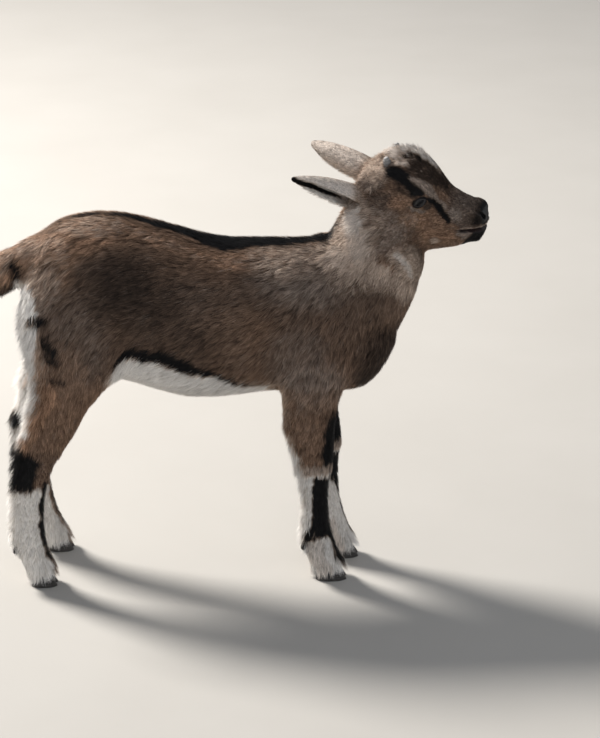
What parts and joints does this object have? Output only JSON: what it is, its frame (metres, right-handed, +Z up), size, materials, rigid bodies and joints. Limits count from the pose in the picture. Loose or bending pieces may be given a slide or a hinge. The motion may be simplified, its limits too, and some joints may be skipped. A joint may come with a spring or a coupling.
{
  "type": "goat kid",
  "caption": "Young dwarf goat standing on all fours, neck stretched forward, ears held back, horn buds, short bushy tail, brown coat with dark stripe and pale lower legs.",
  "frame": {"origin": "on the floor under the middle of the whole kid's bounding box", "axes": "+X towards the nose, +Y to the kid's left, +Z up"},
  "size_m": [0.5466, 0.1478, 0.4493],
  "materials": {
    "coat": "soft brown hair with a dark stripe along the back, white belly and pale lower legs",
    "eye": "wet and glossy, grey-blue iris with a level dark pupil",
    "horn": "grey young horn, satin",
    "hoof": "dark horn, satin, a little dusty"
  },
  "bodies": {
    "root": {"head": "coat", "lower_jaw": "coat", "neck": "coat", "trunk": "coat", "tail": "coat", "ear_left": "coat", "eye_left": "eye", "horn_bud_left": "horn", "ear_right": "coat", "eye_right": "eye", "horn_bud_right": "horn", "foreleg_left_forearm": "coat", "foreleg_left_cannon": "coat", "foreleg_left_pastern": "coat", "claw_foreleg_left_inner": "hoof", "dewclaw_foreleg_left_inner": "hoof", "claw_foreleg_left_outer": "hoof", "dewclaw_foreleg_left_outer": "hoof", "foreleg_right_forearm": "coat", "foreleg_right_cannon": "coat", "foreleg_right_pastern": "coat", "claw_foreleg_right_inner": "hoof", "dewclaw_foreleg_right_inner": "hoof", "claw_foreleg_right_outer": "hoof", "dewclaw_foreleg_right_outer": "hoof", "hindleg_left_thigh": "coat", "hindleg_left_shank": "coat", "hindleg_left_cannon": "coat", "hindleg_left_pastern": "coat", "claw_hindleg_left_inner": "hoof", "dewclaw_hindleg_left_inner": "hoof", "claw_hindleg_left_outer": "hoof", "dewclaw_hindleg_left_outer": "hoof", "hindleg_right_thigh": "coat", "hindleg_right_shank": "coat", "hindleg_right_cannon": "coat", "hindleg_right_pastern": "coat", "claw_hindleg_right_inner": "hoof", "dewclaw_hindleg_right_inner": "hoof", "claw_hindleg_right_outer": "hoof", "dewclaw_hindleg_right_outer": "hoof"}
  },
  "joints": []
}
